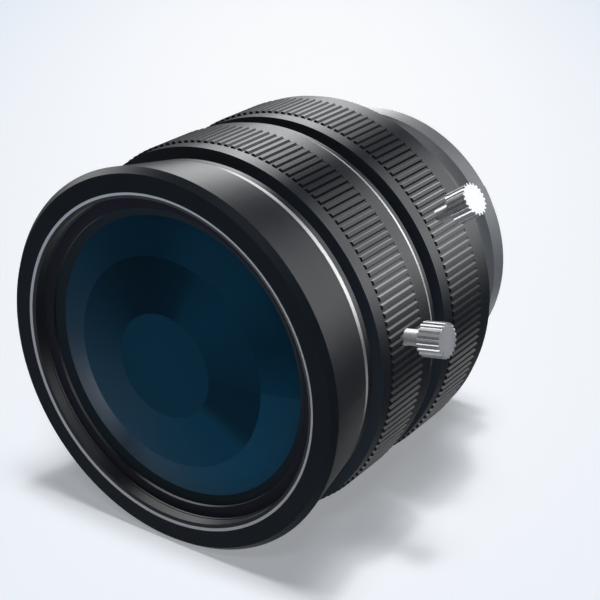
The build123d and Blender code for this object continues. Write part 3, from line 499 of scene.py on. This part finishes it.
# Front glass: three zones of the dome, with the visible circles between them
glass_rim = outer_radius("front_element") - 0.02
glass = turned_mesh("front_glass_zones", [
    (0.0, 0.30), (4.0, 0.305), (INNER_CIRCLE - 0.03, 0.34), (INNER_CIRCLE + 0.03, 0.345),
    (OUTER_CIRCLE - 0.04, 1.455), (OUTER_CIRCLE + 0.04, 1.475), (OUTER_ZONE_EDGE, 3.39),
    (glass_rim - 0.03, 3.72), (glass_rim, 3.85), (glass_rim, 6.70), (0.0, 6.35)],
    segments=320, sharp_degrees=4)
dress(glass, "coated_glass", "lens_block", glass_front("front_glass_painted_reflections"))
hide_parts("front_element")

# Front retaining ring: its raised face, and the narrow wall at the face's inner edge
retainer_front = front_station("front_retaining_ring")
lip_front = retainer_front - LIP_HEIGHT
lip_rear = retainer_front + 0.18
lip_outer = LIP_RADIUS + LIP_THICKNESS
retainer_lip = turned_mesh("front_retainer_lip", [
    (LIP_RADIUS, lip_rear), (LIP_RADIUS, lip_front), (lip_outer, lip_front), (lip_outer, lip_rear)])
dress(retainer_lip, "retainer_black", "lens_block", materials["ring_black"])

face_front = lip_front + 0.005
face_inner = lip_outer - 0.01
face_outer = outer_radius("front_retaining_ring") + 0.04
retainer_face = turned_mesh("front_retainer_face", [
    (face_inner, face_front), (face_outer, face_front),
    (face_outer, retainer_front + 0.06), (face_inner, retainer_front + 0.16)])
dress(retainer_face, "retainer_black", "lens_block")

# Thread on the camera mount
camera_ridges = thread_mesh(
    "camera_thread_ridges", root=thread_radius["camera_thread"] - 0.02,
    crest=thread_radius["camera_thread"] + 0.14, first=seat_station + 0.75, last=seat_station + 3.85,
    pitch=CAMERA_THREAD_PITCH)
dress(camera_ridges, "barrel_black", "rear_body")


# Camera, fitted to the ring edges in the photograph; its place is in metres
camera_place = Vector((0.1235, -0.2046, 0.0962))
camera_tilt = math.radians(65.5716)
camera_turn = math.radians(34.6768)
camera_data = bpy.data.cameras.new("camera")
camera_data.lens = 86.82
camera_data.sensor_width = 36.0
camera_data.clip_start = 0.005
camera_data.clip_end = 20.0
camera = bpy.data.objects.new("camera", camera_data)
bpy.context.scene.collection.objects.link(camera)
camera.matrix_world = Matrix.LocRotScale(camera_place, Euler((camera_tilt, 0.0, camera_turn)), None)
bpy.context.scene.camera = camera


# Floor: the levels are exponents of its red, green and blue under the lens. They change from there across
# and away from the photograph's view, in red by the whole change and in green and blue by a share of it.
# The change is painted light, a broad pool that is lightest a little beyond the lens and darker towards the
# sides and the near edge
FLOOR_LEVELS = (-0.1124, -0.084, -0.042)
FLOOR_SHARES = (1.0, 0.69, 0.35)
FLOOR_GLOW = 0.335
# In metres: half the floor's side, and the unit in which its changes are measured
FLOOR_HALF_SIZE = 6.0
FLOOR_UNIT = 0.1
floor_across = (math.cos(camera_turn) / FLOOR_UNIT, math.sin(camera_turn) / FLOOR_UNIT, 0.0)
floor_away = (-math.sin(camera_turn) / FLOOR_UNIT, math.cos(camera_turn) / FLOOR_UNIT, 0.0)


def clamp(tree, value, low, high):
    return put(tree, "ShaderNodeClamp", {"Value": value, "Min": low, "Max": high}).outputs[0]


def polynomial(tree, value, slope, curve):
    """slope * value + curve * value squared."""
    return multiply(tree, value, add(tree, multiply(tree, value, curve), slope))


def floor_pale(name):
    material, tree = new_tree(name)
    point = object_point(tree)
    across = clamp(tree, dot(tree, point, floor_across), -1.5, 1.5)
    away = clamp(tree, dot(tree, point, floor_away), -0.8, 3.3)
    painted_light_change = add(tree, polynomial(tree, across, slope=-0.0320, curve=-0.1384),
                 polynomial(tree, away, slope=0.0585, curve=-0.0143))
    channels = {}
    for index, (level, share) in enumerate(zip(FLOOR_LEVELS, FLOOR_SHARES)):
        channels[index] = calculate(tree, "EXPONENT", add(tree, level, multiply(tree, painted_light_change, share)))
    color = put(tree, "ShaderNodeCombineColor", channels).outputs[0]
    matt = put(tree, "ShaderNodeBsdfDiffuse", {"Color": color})
    glow = put(tree, "ShaderNodeEmission", {"Color": color, "Strength": FLOOR_GLOW})
    both = put(tree, "ShaderNodeAddShader", {0: matt.outputs[0], 1: glow.outputs[0]})
    put(tree, "ShaderNodeOutputMaterial", {0: both.outputs[0]})
    return material


floor_shape = bmesh.new()
bmesh.ops.create_grid(floor_shape, x_segments=1, y_segments=1, size=FLOOR_HALF_SIZE)
floor = new_object("floor", floor_shape)
floor.location = (0, 0, cad_box[0][2])
floor.data.materials.append(floor_pale("floor_pale"))
floor.visible_glossy = False


# Light: soft lights that only reflections see, and soft suns that light the floor and cast its shadows

def heading(azimuth, elevation):
    """Unit vector; azimuth 0 is +Y, behind the lens, and 90 is +X."""
    turn = math.radians(azimuth)
    rise = math.radians(elevation)
    return (math.sin(turn) * math.cos(rise), math.cos(turn) * math.cos(rise), math.sin(rise))


AMBIENT = 0.02
# Azimuth, elevation, sharpness and strength of each soft light
SOFT_LIGHTS = [
    # behind the lens
    (0, -6, 120, 11.0),
    (-6, 1, 140, 9.6),
    (-7, -24, 140, 1.2),
    # behind it, towards -X
    (-30, 28, 140, 3.8),
    (-21, 5, 140, 3.3),
    (-22, 38, 97, 2.9),
    (-30, 1, 140, 2.8),
    (-35, 17, 140, 2.1),
    # behind it, towards +X
    (34, 12, 29, 2.5),
    (20, 29, 48, 1.8),
    # on its -X side
    (-69, 30, 19, 4.5),
    (-85, -35, 140, 0.75),
    (-68, -56, 3, 0.16),
    (-117, -37, 60, 0.11),
    # in front of it
    (178, 43, 7, 0.35),
]


def studio(name):
    """Reflections see the soft lights, and the camera sees a plain pale backdrop."""
    world = bpy.data.worlds.new(name)
    world.use_nodes = True
    tree = world.node_tree
    tree.nodes.clear()
    direction = put(tree, "ShaderNodeTexCoord").outputs["Generated"]
    total = AMBIENT
    for azimuth, elevation, sharpness, strength in SOFT_LIGHTS:
        facing = dot(tree, direction, heading(azimuth, elevation))
        turned_away = calculate(tree, "SUBTRACT", facing, 1.0)
        fall = calculate(tree, "EXPONENT", multiply(tree, turned_away, sharpness))
        total = add(tree, total, multiply(tree, fall, strength))
    lights = put(tree, "ShaderNodeBackground", {"Color": (0.98, 0.99, 1.0, 1), "Strength": total})
    backdrop = put(tree, "ShaderNodeBackground", {"Color": (0.90, 0.94, 1.0, 1), "Strength": 0.95})
    seen = put(tree, "ShaderNodeLightPath").outputs["Is Camera Ray"]
    both = put(tree, "ShaderNodeMixShader", {0: seen, 1: lights.outputs[0], 2: backdrop.outputs[0]})
    put(tree, "ShaderNodeOutputWorld", {0: both.outputs[0]})
    world.cycles_visibility.diffuse = False
    return world


def soft_sun(name, azimuth, elevation, spread, share):
    """Distant soft lamp that gives the floor its share of light."""
    data = bpy.data.lights.new(name, "SUN")
    data.angle = math.radians(spread)
    data.energy = share * math.pi / math.sin(math.radians(elevation))
    lamp = bpy.data.objects.new(name, data)
    bpy.context.scene.collection.objects.link(lamp)
    lamp.rotation_mode = "QUATERNION"
    lamp.rotation_quaternion = Vector(heading(azimuth, elevation)).to_track_quat("Z", "Y")
    lamp.visible_glossy = False


bpy.context.scene.world = studio("studio")
soft_sun("overhead_1", azimuth=19, elevation=88, spread=6, share=0.167)
soft_sun("overhead_2", azimuth=176, elevation=88, spread=16, share=0.146)
soft_sun("overhead_3", azimuth=95, elevation=84, spread=14, share=0.205)
soft_sun("overhead_4", azimuth=93, elevation=76, spread=13, share=0.095)
soft_sun("front_fill", azimuth=141, elevation=50, spread=10, share=0.052)

bpy.context.scene.view_settings.view_transform = "Standard"
bpy.context.scene.view_settings.look = "None"
